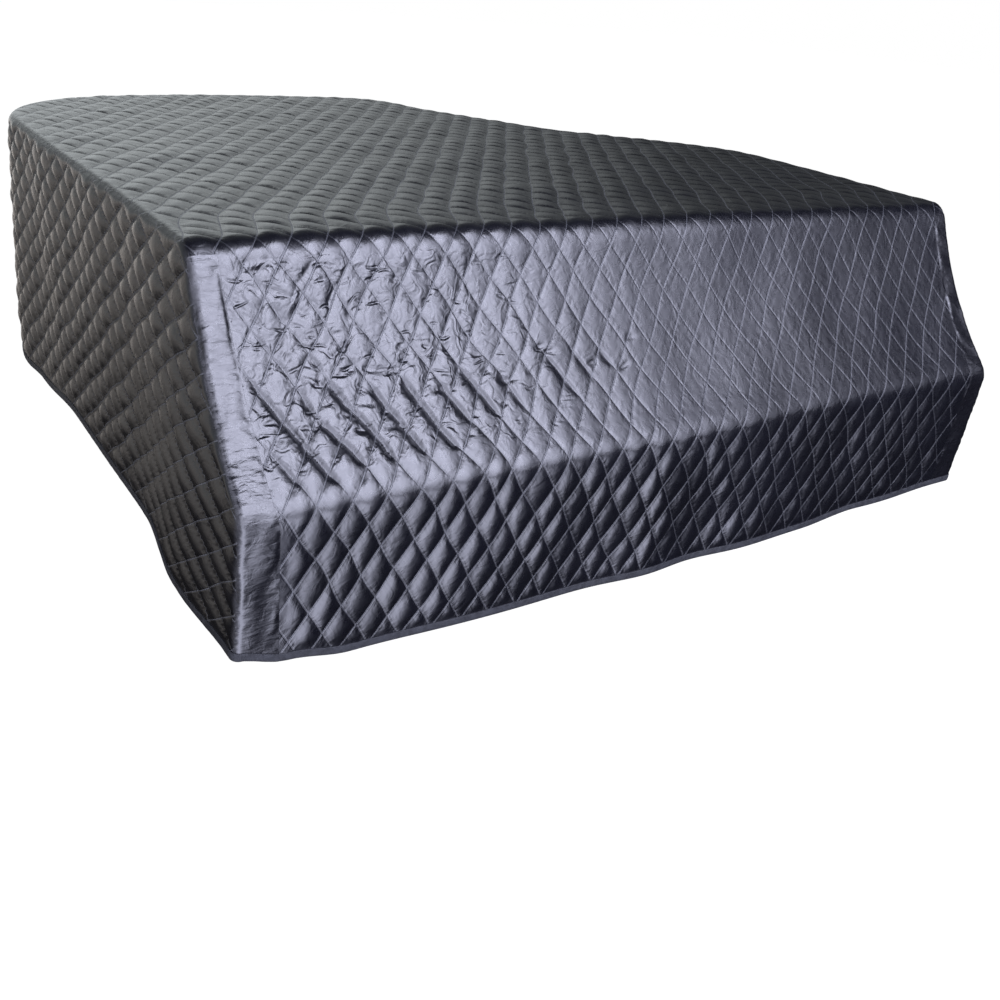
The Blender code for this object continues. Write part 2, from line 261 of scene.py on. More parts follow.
def lattice(rim, diamond, corners):
    """Cells of a lattice inside the border rim: (points drawn flat, faces, rim points)."""
    step, start = np.array(diamond[:2]) / CELLS, np.array(diamond.start)
    low = np.floor((rim.flat.min(0) - start) / step).astype(int)
    high = np.ceil((rim.flat.max(0) - start) / step).astype(int)
    columns, rows = np.arange(low[0], high[0]), np.arange(low[1], high[1])
    middle = start + (low + 0.5) * step
    kept = np.zeros((len(columns), len(rows)), bool)
    a, b = rim.flat, np.roll(rim.flat, -1, axis=0)
    for row in range(len(rows)):
        y = middle[1] + row * step[1]
        cross = (a[:, 1] > y) != (b[:, 1] > y)
        share = (y - a[cross, 1]) / (b[cross, 1] - a[cross, 1])
        at = np.sort(a[cross, 0] + share * (b[cross, 0] - a[cross, 0]))
        kept[:, row] = np.searchsorted(at, middle[0] + np.arange(len(columns)) * step[0]) % 2 == 1
    uses = np.zeros((len(columns) + 1, len(rows) + 1), int)
    for i, j in ((0, 0), (1, 0), (0, 1), (1, 1)):
        uses[i : i + len(columns), j : j + len(rows)] += kept
    number = np.full(uses.shape, -1)
    number[uses > 0] = np.arange((uses > 0).sum())
    flat = start + (low + np.argwhere(uses > 0)) * step
    i, j = np.nonzero(kept)
    ring = np.stack([number[i, j], number[i + 1, j], number[i + 1, j + 1], number[i, j + 1]], 1)
    rising = (columns[i] - rows[j]) % CELLS == 0
    falling = (columns[i] + rows[j] + 1) % CELLS == 0
    turned = falling | (~rising & ((columns[i] // (CELLS // 2) + rows[j] // (CELLS // 2)) % 2 == 1))
    ring[turned] = np.roll(ring[turned], -1, axis=1)
    outer = np.nonzero(uses[uses > 0] < 4)[0]
    segment, share = nearest(flat[outer], rim.flat)
    for corner in corners:
        close = np.abs(flat[outer] - rim.flat[corner]).sum(1).argmin()
        segment[close], share[close] = corner, 0.0
    flat[outer] = between(rim.flat, segment, share)
    return flat, ring, (outer, segment, share)


print("one cell of the front:", [round(1000 * v / CELLS, 1) for v in FRONT_DIAMOND[:2]], "mm")

# %% [markdown]
# ## Uneven, as cloth is
#
# A machine stitches straight, but cloth gives way, so no line stays dead straight and no surface
# dead even.  A texture of noise can't move mesh points, so `wander` adds up nine sine waves of
# random direction and pitch.  Its seed fixes the draw, so the cloth comes out the same each time.

# %% Wandering and wobbling
def wander(flat, size, seed):
    """Smooth wandering from about -1 to 1 over a cloth, with rises about size apart."""
    turn, phase, pitch = np.random.default_rng(seed).uniform(0, 1, (3, 9))
    turn, pitch = turn * math.tau, math.tau / size / (0.7 + 0.8 * pitch)
    waves = flat[:, :1] * np.cos(turn) * pitch + flat[:, 1:2] * np.sin(turn) * pitch
    return np.sin(waves + phase * math.tau).sum(1) / 4


def inset(flat, rim):
    """How far each place lies from the seam or hem, drawn flat, and the pinch there."""
    seam = rim.flat + rim.away * (rim.rolls * EDGE_RADIUS * SEAM_TURN)[:, None]
    ahead = np.roll(seam, -1, axis=0)
    shares = np.arange(3)[:, None, None] / 3
    line = (seam * (1 - shares) + ahead * shares).reshape(-1, 2)
    tree = KDTree(len(line))
    for row, (x, y) in enumerate(line):
        tree.insert((x, y, 0), row)
    tree.balance()
    found = [tree.find((x, y, 0))[1:] for x, y in flat]
    row, off = (np.array(column) for column in zip(*found))
    return off, rim.pinch[row % len(seam)]


def wobbled(flat, rim, seed):
    """Small moves within the cloth, because no stitch line stays dead straight on it."""
    move = np.stack([wander(flat, 0.11, seed), wander(flat, 0.13, seed + 50)], 1)
    off, _ = inset(flat, rim)
    return 0.0028 * move * smooth(off / 0.06)[:, None]


print("one place wanders by", wander(np.array([[0.3, 0.2]]), 0.11, 1)[0].round(3))

# %% [markdown]
# ## Rolled to a seam
#
# At the lid's sides and at the front corners the cloth doesn't end on an edge: it rolls over it
# and is sewn to its neighbour partway round.  The roll could be part of the lattice, but its
# cells would be stretched there.  Rows of faces added outwards from the rim, a few degrees each,
# follow the roll exactly.

# %% Rolling
def directed_rim(faces):
    """The edges that only one face uses, in that face's direction."""
    edges = np.concatenate([faces[:, [k, (k + 1) % 4]] for k in range(4)])
    key = edges.min(1) * (faces.max() + 1) + edges.max(1)
    _, first, uses = np.unique(key, return_index=True, return_counts=True)
    return edges[first[uses == 1]]


def rolled(flat, places, faces, rim, on_rim, turns):
    """Adds rows of faces that roll from a panel's rim through the turns, towards its seam."""
    outer, segment, share = on_rim
    row_of = np.full(len(flat), -1)
    row_of[outer] = np.arange(len(outer))
    edge, up, side, away = (between(values, segment, share) for values in rim[1:5])
    up, side = (v / np.linalg.norm(v, axis=1, keepdims=True) for v in (up, side))
    rolls = between(rim.rolls, segment, share) > 0.99
    links = row_of[directed_rim(faces)]
    links = links[rolls[links].all(1)]
    used = np.unique(links)
    last = outer.copy()
    for turn in turns[1:]:
        toward = up * math.cos(turn) + side * math.sin(turn)
        fresh = np.full(len(outer), -1)
        fresh[used] = len(flat) + np.arange(len(used))
        swept = abs(turn - turns[0]) * EDGE_RADIUS
        flat = np.vstack([flat, between(rim.flat, segment, share)[used] + away[used] * swept])
        places = np.vstack([places, (edge + (toward - up) * EDGE_RADIUS)[used]])
        u, v = links.T
        faces = np.vstack([faces, np.stack([last[v], last[u], fresh[u], fresh[v]], 1)])
        last = fresh
    return flat, places, faces


print("rows of a roll are", round(1000 * EDGE_RADIUS * SEAM_TURN / 3, 1), "mm wide")

# %% [markdown]
# ## Finer where it is creased
#
# A crease is narrower than a cell, so where the cloth lies in small creases each cell is split in
# four.  Splitting the whole cloth would cost four times the faces for nothing.

# %% Splitting cells
def quartered(flat, faces, chosen):
    """Splits the chosen cells in four and gives their neighbours the new corners in between."""
    ends = np.stack([faces, np.roll(faces, -1, axis=1)], -1)
    key = ends.min(-1) * len(flat) + ends.max(-1)
    split, index = np.unique(key[chosen], return_inverse=True)
    middles = (flat[split // len(flat)] + flat[split % len(flat)]) / 2
    corner, sides = faces[chosen], len(flat) + index.reshape(-1, 4)
    centres = len(flat) + len(split) + np.arange(len(sides))
    four = ((corner[:, k], sides[:, k], centres, sides[:, k - 1]) for k in range(4))
    quarters = [np.stack(quarter, 1) for quarter in four]
    # The thread of a diagonal that joins corners 0 and 2 goes on through the middle.
    quarters[1], quarters[3] = np.roll(quarters[1], -1, axis=1), np.roll(quarters[3], -1, axis=1)
    number = {k: len(flat) + row for row, k in enumerate(split.tolist())}
    beside = np.isin(key, split).any(1) & ~chosen
    plain, wide = faces[~chosen & ~beside], []
    for face, keys in zip(faces[beside].tolist(), key[beside].tolist()):
        ring = [v for k, at in zip(keys, face) for v in (at, number.get(k)) if v is not None]
        wide.append(ring)
    flat = np.vstack([flat, middles, flat[corner].mean(1)])
    return flat, [*plain.tolist(), *np.vstack(quarters).tolist(), *wide]


print("a split cell of the front:", [round(500 * v / CELLS, 1) for v in FRONT_DIAMOND[:2]], "mm")

# %% [markdown]
# ## The quilted panel over the lid and down the front
#
# Lid and front are one cloth, so they are one sheet: drawn flat, the lid's outline sits on top of
# the front like a head on shoulders.  The cloth rolls over the lid's sides to the seam and goes on
# a little way under the band.  Below the lid's edge it narrows to make room for the plain strips.
# The quilting is pulled a little wider over the lid, and its columns lean down the front, so the
# drawing is pulled the same way.

# %% Surface of the panel
LID_STRETCH, FRONT_LEAN = 0.06, 0.045


def widening(along):
    return 1 + LID_STRETCH * smooth((along + 0.02) / 0.15)


def pulled(drawn):
    """Where the panel's drawing goes on the cover: wider over the lid, leaning down the front."""
    x, along = drawn.T
    return np.stack([x * widening(along) + FRONT_LEAN * np.minimum(along, 0), along], -1)


def unpulled(flat):
    x, along = flat.T
    return np.stack([(x - FRONT_LEAN * np.minimum(along, 0)) / widening(along), along], -1)


def strip_edge(down, hem):
    """Distance from the middle to the seam of a plain strip, at a distance down the front."""
    ends = [over_edge, KEY_SLIP_DOWN, KEY_SLIP_DOWN + BEND]
    share = np.interp(down, ends + [hem], [0, 4 / 9, 6 / 9, 1])
    return HALF - STRIP_TOP - (STRIP_HEM - STRIP_TOP) * share


def front_place(x, down):
    y, z = sample(fall_y, x, down), sample(fall_z, x, down)
    return np.stack([x + 0 * y, y, z], -1)


def on_front(x, down):
    """(places, outward directions) at distances across and down the front."""
    turn = sample(fall_turn, x, down)
    return front_place(x, down), np.stack([0 * turn, -np.sin(turn), np.cos(turn)], -1)


def hem_down(x):
    return np.interp(x, ACROSS, HEM_DOWN)


def panel_surface(flat):
    x, along = flat.T
    places = front_place(x, np.maximum(-along, 0))
    places[:, 1] += np.maximum(along, 0)
    return places


print("front corner's hem lies", round(float(hem_down(FLAT_HALF)), 3), "m down")

# %% [markdown]
# ## The panel's border and cells
#
# The border goes round the panel once: round the lid, down the treble side, along the hem and up
# the bass side.  Along it stands whether the cloth rolls on to a seam or ends flat, and how far
# in the sewing presses it.

# %% Border and cells of the panel
at = np.linspace(0, AROUND, 700)
x, y, out_x, out_y = outline(at)
lid_edge = np.stack([x - out_x * EDGE_RADIUS, y - out_y * EDGE_RADIUS, 0 * x + QUILT], 1)
outwards = np.stack([out_x, out_y, 0 * x], 1)
lid_flat = lid_edge[:, :2] - (0, FRONT_Y)
UP = (0, 0, 1)


def front_side(way, down):
    """The border down one side of the front, where it rolls to the corner's seam."""
    x = np.full(len(down), way * FLAT_HALF)
    flat = np.stack([x, -down], 1)
    return run(flat, *on_front(x, down), side=(way, 0, 0), away=(way, 0), rolls=1)


def sewn(x, down, pinch):
    """The border where it ends at a flat seam or a hem."""
    return run(np.stack([x, -down], 1), *on_front(x, down), pinch=pinch)


HEM_PINCH = 0.011
STRIP_PINCH = -0.005  # this seam hardly presses the quilting
short = np.linspace(0, over_edge, 8)[1:]
seam_hem = float(hem_down(HALF - STRIP_HEM))
seam = np.linspace(over_edge, seam_hem, 120)
seam_x = strip_edge(seam, seam_hem)
hem_x = np.linspace(seam_x[-1], -seam_x[-1], 320)[1:-1]
panel_rim = joined(
    run(lid_flat, lid_edge, UP, outwards, outwards[:, :2], rolls=1),
    front_side(1, short),
    sewn(seam_x, seam, STRIP_PINCH),
    sewn(hem_x, hem_down(hem_x), HEM_PINCH),
    sewn(-seam_x[::-1], seam[::-1], STRIP_PINCH),
    front_side(-1, short[::-1]),
)
steps = [len(at), len(short), len(seam), len(hem_x), len(seam)]
step_out, hem_end, hem_start = np.cumsum(steps)[[1, 2, 3]]
seam_end = hem_start + len(seam)
panel_corners = [step_out - 1, step_out, hem_end - 1, hem_start, seam_end - 1, seam_end]
panel_rim = panel_rim._replace(flat=unpulled(panel_rim.flat))
panel_flat, panel_faces, on_rim = lattice(panel_rim, FRONT_DIAMOND, panel_corners)
panel_places = panel_surface(pulled(panel_flat + wobbled(panel_flat, panel_rim, 1)))
ALLOWANCE = 0.004  # the panel goes on this far under the band, so that nothing shows through
panel_turns = np.append(np.linspace(0, SEAM_TURN, 4), SEAM_TURN + ALLOWANCE / EDGE_RADIUS)
unrolled = len(panel_flat)
panel_flat, panel_places, panel_faces = rolled(
    panel_flat, panel_places, panel_faces, panel_rim, on_rim, panel_turns
)
row_length = (len(panel_flat) - unrolled) // (len(panel_turns) - 1)
allowance = slice(len(panel_flat) - row_length, len(panel_flat))
middle = panel_flat[panel_faces].mean(1)
creasy = (np.abs(middle[:, 0] + 0.39) < 0.34) & (np.abs(middle[:, 1] + 0.20) < 0.16)
coarse = len(panel_flat)
panel_flat, panel_faces = quartered(panel_flat, panel_faces, creasy)
fresh = panel_flat[coarse:]
fresh = panel_surface(pulled(fresh + wobbled(fresh, panel_rim, 1)))
panel_places = np.vstack([panel_places, fresh])
print("panel over lid and front:", len(panel_faces), "cells")

# %% [markdown]
# ## The side band
#
# One long band runs from the front bass corner round the tail to the front treble corner.  Drawn
# flat, it is as long as the lid's outline and as tall as the drop, and its two ends follow the
# profile of the front.  Its diamonds lie on their sides.

# %% Border and surface of the band
BAND_TOP = QUILT - EDGE_RADIUS
END_ROWS = 140


def band_end(way):
    """A front corner's places, the directions out of them, and its inner line drawn flat."""
    down = np.linspace(0, float(hem_down(way * FLAT_HALF)), END_ROWS)
    place, normal = on_front(np.full(len(down), way * FLAT_HALF), down)
    inner = place[:, 1:] - normal[:, 1:] * EDGE_RADIUS - (FRONT_Y, 0)
    return place, normal, inner


bass_end, treble_end = band_end(-1), band_end(1)


def ahead(end, height):
    """How far in front of the lid's edge the band reaches at a height: zero or negative."""
    inner = end[2]
    return np.interp(-height, -inner[:, 1], inner[:, 0])


def lean(at, height):
    """How far the column at a way round moves towards the front at a height."""
    share = np.clip(1 - at / CORNER_FADE, 0, 1), np.clip(1 - (AROUND - at) / CORNER_FADE, 0, 1)
    return share[0] * ahead(bass_end, height) - share[1] * ahead(treble_end, height)


def leaned(at, height):
    """The way round at the top edge of the column that passes a place on the band."""
    for end in (bass_end, treble_end):
        reach = ahead(end, height)
        column = (at - reach) / (1 - reach / CORNER_FADE)
        at = AROUND - np.where(column < CORNER_FADE, column, at)  # now from the other end
    return at


def band_surface(flat):
    """Places on the band: out from the lid's outline by its bellies, and down."""
    at, height = flat.T
    column = leaned(at, height)
    x, y, out_x, out_y = outline(column)
    y = y + np.where(column < AROUND / 2, at - column, column - at)
    belly = table(SIDE_BELLIES, column / AROUND) * np.sin(2.2 * (BAND_TOP - height) / 0.506)
    return np.stack([x + out_x * belly, y + out_y * belly, height], -1)


def band_side(end, way, order):
    """The border up or down one of the band's two front ends."""
    place, normal, inner = (values[order] for values in end)
    toward = -way  # distance round grows to the tail on the bass side and shrinks on the treble
    start = 0 if way < 0 else AROUND
    flat = np.stack([start + toward * inner[:, 0], inner[:, 1]], 1)
    away = np.stack([toward * normal[:, 1], normal[:, 2]], 1)
    return run(flat, place, normal, side=(way, 0, 0), away=away, rolls=1)


low = np.linspace(AROUND, 0, 700)[1:-1]
hem_height = table(SIDE_HEM, low / AROUND)
band_hem = np.stack([low + lean(low, hem_height), hem_height], 1)
band_rim = joined(
    run(np.stack([at, 0 * at + BAND_TOP], 1), lid_edge, UP, outwards, away=(0, 1), rolls=1),
    band_side(treble_end, 1, slice(1, None)),
    run(band_hem, band_surface(band_hem), UP, pinch=HEM_PINCH),
    band_side(bass_end, -1, slice(None, 0, -1)),
)
hem_start = len(at) + END_ROWS - 1
band_corners = [0, len(at) - 1, hem_start - 1, hem_start + len(low)]
band_flat, band_faces, on_rim = lattice(band_rim, SIDE_DIAMOND, band_corners)
band_flat, band_places, band_faces = rolled(
    band_flat,
    band_surface(band_flat + wobbled(band_flat, band_rim, 2)),
    band_faces,
    band_rim,
    on_rim,
    np.linspace(math.pi / 2, SEAM_TURN, 4),
)
print("side band:", len(band_faces), "cells")

# %% [markdown]
# ## Sewing
#
# Stitching pulls the two faces of a quilt together along its lines, and the wadding pushes them
# apart between the lines.  Each family of lines gets its own row of arches.  Multiplied, the two
# make a diamond that is full in the middle and sharp in its corners.  How high and how round the
# arches are changes from the lid to the slope and to the hanging cloth.  No two diamonds are
# equally full, and towards a seam or a hem the cloth is pressed thin.

# %% Pillows
SINK = 0.0014  # stitching pulls the cloth this far under its base surface


def stitches(flat, diamond):
    """Where a place lies between the stitch lines of both families, which are at whole numbers."""
    across, along = ((flat - diamond.start) / diamond[:2]).T
    return across + along, across - along


def pillow(share, round_share):
    """An arch between two stitch lines: round at 1, flat on top with steep sides nearer 0."""
    share = share % 1.0
    return (4 * share * (1 - share)) ** round_share


def chance(p, q, seed):
    """One random number from 0 to 1 for each diamond."""
    mixed = np.sin(np.floor(p + 1e-6) * 12.9898 + np.floor(q + 1e-6) * 78.233 + seed) * 43758.5
    return mixed % 1.0


def line_spacing(diamond):
    """The distance between neighbouring stitch lines of one family."""
    return 1 / math.hypot(1 / diamond.across, 1 / diamond.along)


def quilting(flat, diamond, rim, puff, arches, seed):
    """How far each place stands out from the base surface, and its share of the full loft."""
    p, q = stitches(flat, diamond)
    loft = 0.75 + 0.5 * chance(p, q, seed)
    off, pinch = inset(flat, rim)
    open_share = smooth((off - pinch) / np.where(pinch < 0, 0.045, 0.020))
    puffed = puff * loft * pillow(p, arches[0]) * pillow(q, arches[1]) - SINK
    seam_groove = 0.0010 * np.exp(-((off / 0.004) ** 2)) * (pinch == 0)
    return puffed * open_share - seam_groove, open_share


print("stitch lines of the front lie", round(1000 * line_spacing(FRONT_DIAMOND), 1), "mm apart")

# %% [markdown]
# ## Tucks and creases
#
# On the bass side the slope lies slack.  Some pillows dive there under the stitch line above
# them, and short creases cross the cloth.  A noise would scatter them evenly, and real creases
# aren't even, so each is listed one by one: a tuck on a line of stitches, a crease between two
# places.

# %% Tucks and creases
Tuck = namedtuple("Tuck", "line down down2 depth")  # all but line in millimetres
TUCKS = named(
    Tuck,
    (-18, 280, 350, 3.5), (-17, 190, 355, 4.5), (-16, 222, 258, 3.0), (-16, 258, 340, 4.0),
    (-15, 170, 205, 2.5), (-15, 205, 340, 4.2), (-14, 222, 335, 4.0), (-13, 218, 335, 4.2),
    (-12, 235, 305, 3.2), (-11, 212, 295, 3.6), (-10, 230, 290, 2.0), (-8, 210, 285, 2.6),
    (-7, 205, 270, 2.0), (-6, 210, 250, 2.2),
)
Crease = namedtuple("Crease", "x down x2 down2 depth width", defaults=[3.4])  # in millimetres
CREASES = named(
    Crease,
    (-700, 52, -640, 46, 5.0, 11.0), (-745, 50, -715, 58, 2.5, 8.0), (-740, 193, -713, 207, 4.5),
    (-733, 72, -698, 90, 4.0), (-700, 72, -678, 88, 3.0), (-667, 82, -633, 97, 3.5),
    (-628, 112, -617, 120, 2.5), (-613, 167, -593, 168, 2.0), (-580, 150, -563, 147, 2.0),
    (-585, 108, -565, 85, 3.5), (-620, 80, -598, 53, 2.5), (-625, 203, -610, 207, 3.5),
    (-583, 206, -562, 203, 3.5), (-545, 205, -500, 211, 3.5), (-533, 286, -507, 288, 3.0),
    (-583, 286, -563, 284, 2.0), (-452, 245, -430, 244, 3.5), (-480, 200, -468, 201, 2.5),
    (-563, 247, -543, 250, 2.5), (-453, 167, -440, 165, 2.0), (-338, 249, -310, 248, 3.5),
    (-263, 201, -245, 197, 2.8), (-245, 211, -230, 208, 2.8), (-200, 210, -188, 207, 2.0),
    (-173, 236, -158, 232, 2.8), (-115, 251, -97, 243, 2.6), (-88, 203, -73, 200, 2.2),
)


def tucked(flat, down):
    """How deep each place lies in a tuck."""
    line, _ = stitches(flat, FRONT_DIAMOND)
    depth = np.zeros(len(flat))
    for tuck in TUCKS:
        top, foot, deepest = np.array(tuck[1:]) / 1000
        above = (line - tuck.line) * line_spacing(FRONT_DIAMOND)
        ends = smooth((down - top) / 0.015) * smooth((foot - down) / 0.015)
        width = np.where(above > 0, 0.0015, 0.0090)
        depth += deepest * np.exp(-((above / width) ** 2)) * ends
    return depth


def creased(places):
    """How deep each place lies in a crease."""
    depth = np.zeros(len(places))
    for crease in CREASES:
        x, down, x2, down2, deepest, width = np.array(crease) / 1000
        start, way = (x, -down), np.array([x2 - x, down - down2])
        share = np.clip((places - start) @ way / (way @ way), 0, 1)
        off = np.linalg.norm(places - start - share[:, None] * way, axis=1)
        depth += deepest * np.exp(-((off / width) ** 2)) * np.sin(0.6 + 2 * share)
    return depth


print("tucks:", len(TUCKS), "creases:", len(CREASES))

# %% [markdown]
# ## The two quilted sheets
#
# Each sheet starts flat on its base surface, and every point then moves out along its normal by
# the relief there.  Near the front ends of the band the pillows run together into long falling
# ribs.  The flat drawing goes along as a map, so that the finish finds the same stitch lines.

# %% Quilted sheets
LID_PUFF, SLOPE_PUFF, HANG_PUFF, SIDE_PUFF = 0.0036, 0.0029, 0.0056, 0.0050
EDGE_PUFF, RIB = 0.0010, 0.0052  # extra on the lid's front edge, and the band's long ribs


def placed(name, data):
    """A new object in the scene."""
    made = bpy.data.objects.new(name, data)
    bpy.context.scene.collection.objects.link(made)
    return made


def cloth_mesh(name, flat, places, faces, relief):
    """A sheet moved out from its base surface by relief, with its flat drawing as its map."""
    mesh = bpy.data.meshes.new(name)
    places = places - (0, REST_DEPTH, 0)
    mesh.from_pydata(places.tolist(), [], [list(face) for face in faces])
    normals = np.empty(len(places) * 3, np.float32)
    mesh.vertices.foreach_get("normal", normals)
    moved = places + normals.reshape(-1, 3) * relief[:, None]
    mesh.vertices.foreach_set("co", moved.astype(np.float32).ravel())
    corners = np.empty(len(mesh.loops), np.int32)
    mesh.loops.foreach_get("vertex_index", corners)
    drawing = mesh.uv_layers.new(name="cloth").data
    drawing.foreach_set("uv", flat[corners].astype(np.float32).ravel())
    mesh.shade_smooth()
    mesh.update()
    return placed(name, mesh)


laid = pulled(panel_flat)
x, along = laid.T
lying = smooth((along - 0.02) / 0.06)  # 1 on the lid
hanging = smooth((-along - 0.345) / 0.08)  # 1 below the key slip
slope_puff = SLOPE_PUFF * (1 - 0.72 * smooth((x + 0.45) / 0.5))
hang_puff = HANG_PUFF * (1 - 0.25 * smooth((x + 0.2) / 0.6))
puff = LID_PUFF + (slope_puff - LID_PUFF) * smooth((0.03 - along) / 0.06)
puff += (hang_puff - slope_puff) * hanging + EDGE_PUFF * np.exp(-((along / 0.022) ** 2))
arches = 0.75 - 0.45 * lying - 0.35 * hanging, 0.8 + 0.1 * lying - 0.25 * hanging
relief, fullness = quilting(panel_flat, FRONT_DIAMOND, panel_rim, puff, arches, 0.0)
relief += 0.0016 * wander(panel_flat, 0.26, 7) * fullness
slack = smooth((-0.30 - x) / 0.30) * smooth((-along - 0.02) / 0.05) * smooth((0.36 + along) / 0.06)
relief += 0.0005 * wander(panel_flat, 0.030, 8) * slack * fullness
relief -= (creased(laid) + tucked(panel_flat, -along)) * fullness
relief[allowance] = -SINK
top_and_front = cloth_mesh("quilted_top_and_front", panel_flat, panel_places, panel_faces, relief)

round_at, height = band_flat.T
from_end = np.minimum(round_at, AROUND - round_at)
ribbed = (1 - smooth((from_end - 0.05) / 0.40)) * smooth((BAND_TOP - 0.05 - height) / 0.25)
puff = SIDE_PUFF * (1 - 0.6 * ribbed)
relief, fullness = quilting(band_flat, SIDE_DIAMOND, band_rim, puff, (0.6, 0.6), 3.0)
_, line = stitches(band_flat, SIDE_DIAMOND)
relief += RIB * ribbed * (pillow(line, 1.0) - 0.4) * fullness
relief += 0.0022 * wander(band_flat, 0.30, 11) * fullness
side_band = cloth_mesh("quilted_side_band", band_flat, band_places, band_faces[:, ::-1], relief)
print("relief of the band:", [round(1000 * v, 1) for v in (relief.min(), relief.max())], "mm")

# %% [markdown]
# ## Plain corner strips
#
# The strips aren't quilted.  Their seams gather them a little, which shows as fine ripples across
# the strip, strongest beside the seams.  Under the lid's bass corner the strip is pushed out in
# one soft puff.

# %% Plain strips
UNDER = 0.002  # how far a strip goes on under the neighbouring cloth at its seams


def grid(places):
    """(places one after another, the faces between them) of a grid of places."""
    number = np.arange(places.shape[0] * places.shape[1]).reshape(places.shape[:2])
    faces = np.stack([number[:-1, :-1], number[1:, :-1], number[1:, 1:], number[:-1, 1:]], -1)
    return places.reshape(-1, 3), faces.reshape(-1, 4)


def strip(name, way, seed):
    """A plain strip on the bass side (way -1) or the treble side (way 1)."""
    down = np.append(np.arange(over_edge - UNDER, seam_hem + 0.006, 0.0028), 0.66)
    inner = strip_edge(down, seam_hem) - UNDER
    across = inner[:, None] + (FLAT_HALF - inner[:, None]) * np.linspace(0, 1, 20)
    hem = hem_down(way * across)
    down = np.minimum(down[:, None], hem)
    place, normal = on_front(way * across, down)
    turns = np.append(np.linspace(0, SEAM_TURN, 5)[1:], SEAM_TURN + UNDER / EDGE_RADIUS)
    side = np.array([way, 0.0, 0.0])
    start, up = place[:, -1], normal[:, -1]
    rolls = [start + (up * (math.cos(a) - 1) + side * math.sin(a)) * EDGE_RADIUS for a in turns]
    place = np.concatenate([place, np.stack(rolls, 1)], 1)
    across = np.concatenate([across, across[:, -1:] + turns * EDGE_RADIUS], 1)
    down, hem = (np.concatenate([v, np.repeat(v[:, -1:], len(turns), 1)], 1) for v in (down, hem))
    flat = np.stack([way * across, -down], -1).reshape(-1, 2)
    from_seam = np.minimum(across - across[:, :1], across[:, -1:] - across) - UNDER
    share = (across - across[:, :1]) / (across[:, -1:] - across[:, :1])
    open_share = smooth(from_seam / 0.006).ravel()
    ends = smooth((down - over_edge) / 0.012) * smooth((hem - down - HEM_PINCH) / 0.02)
    ripples = 0.0007 * wander(flat * (0.35, 1.0), 0.011, seed)
    ripples *= 1 - 0.75 * smooth(from_seam / 0.02).ravel()
    folds = 0.0010 * wander(flat * (1.0, 0.6), 0.05, seed + 1)
    bulge = np.interp(down, [0.34, 0.42], [0.0002, 0.0008])
    if way < 0:
        bulge = bulge + 0.003 * np.exp(-(((down - 0.115) / 0.055) ** 2))
    relief = ripples + folds + (bulge * (1 - (2 * share - 1) ** 2)).ravel()
    relief = relief * open_share * ends.ravel() - 0.0003 * (1 - open_share)
    places, faces = grid(place)
    return cloth_mesh(name, flat, places, faces[:, ::way], relief)


bass_strip = strip("plain_bass_strip", -1, 21)
treble_strip = strip("plain_treble_strip", 1, 31)
print("strip faces:", len(bass_strip.data.polygons))

# %% [markdown]
# ## Bound hems
#
# A tape is folded over each hem and stitched down near its upper edge.  It is a narrow channel
# swept along the hem, so both of its faces follow the cloth, flutes included.  Its section is a
# short list of points: how far above the hem, and how far out from the cloth.

# %% Bindings
TAPE_COVERS, TAPE_GAP, TAPE = 0.012, 0.0005, 0.001


def channel(name, stations, up_along, seed, order=1):
    """Tape over a hem.  up_along(u) gives places and outward directions u above the hem."""
    far, reach = TAPE_GAP + TAPE, TAPE_COVERS
    section = [
        (reach, 0.0002), (reach - 0.0003, far),
        (reach - 0.0025, far - 0.0003), (reach - 0.0045, far + 0.0002),  # where it is sewn down
        (reach / 3, far + 0.0003), (0.0004, far),
        (-far * 0.75, far * 0.45), (-far, -0.001), (-far, -QUILT + 0.001),  # round the hem
        (-far * 0.75, -QUILT - far * 0.45), (0.0004, -QUILT - far),
        (reach, -QUILT - far), (reach, -QUILT - 0.0002),
    ]
    base, _ = up_along(0.0)
    lines = []
    for up, out in section:
        place, normal = up_along(max(up, 0.0))
        if up < 0:
            step = up_along(0.004)[0] - base
            place = place + step / np.linalg.norm(step, axis=1, keepdims=True) * up
        ripple = wander(np.stack([stations, 0 * stations + up], 1), 0.02, seed) * 0.00025
        out = out + np.sign(out + QUILT / 2) * ripple * (up > 0)
        lines.append(place + normal * out[:, None])
    places, faces = grid(np.stack(lines, 1))
    turn = np.append(0, np.cumsum([math.dist(a, b) for a, b in zip(section, section[1:])]))
    flat = np.stack(np.broadcast_arrays(stations[:, None], turn[None]), -1).reshape(-1, 2)
    return cloth_mesh(name, flat, places, faces[:, ::order], np.zeros(len(flat)))


def stations_along(start, end, count, turn):
    """Places along a hem, which goes on round the front corners by an angle."""
    rounds = np.linspace(0.1, 1, 5) * EDGE_RADIUS * turn
    return np.concatenate([start - rounds[::-1], np.linspace(start, end, count), end + rounds])


front_stations = stations_along(-FLAT_HALF, FLAT_HALF, 520, SEAM_TURN)
side_stations = stations_along(0, AROUND, 1100, math.pi / 2 - SEAM_TURN)


def corner_roll(way, turn, up):
    """Places and outward directions on the roll of a front corner, up above its hem."""
    x = np.full(len(turn), way * FLAT_HALF)
    start, face = on_front(x, hem_down(x) - up)
    toward = face * np.cos(turn)[:, None] + np.outer(np.sin(turn), (way, 0.0, 0.0))
    return start + (toward - face) * EDGE_RADIUS, toward


def up_front(up):
    x = np.clip(front_stations, -FLAT_HALF, FLAT_HALF)
    place, normal = on_front(x, hem_down(x) - up)
    turn = (np.abs(front_stations) - FLAT_HALF) / EDGE_RADIUS
    for way in (-1, 1):
        past = way * front_stations > FLAT_HALF
        place[past], normal[past] = corner_roll(way, turn[past], up)
    return place, normal


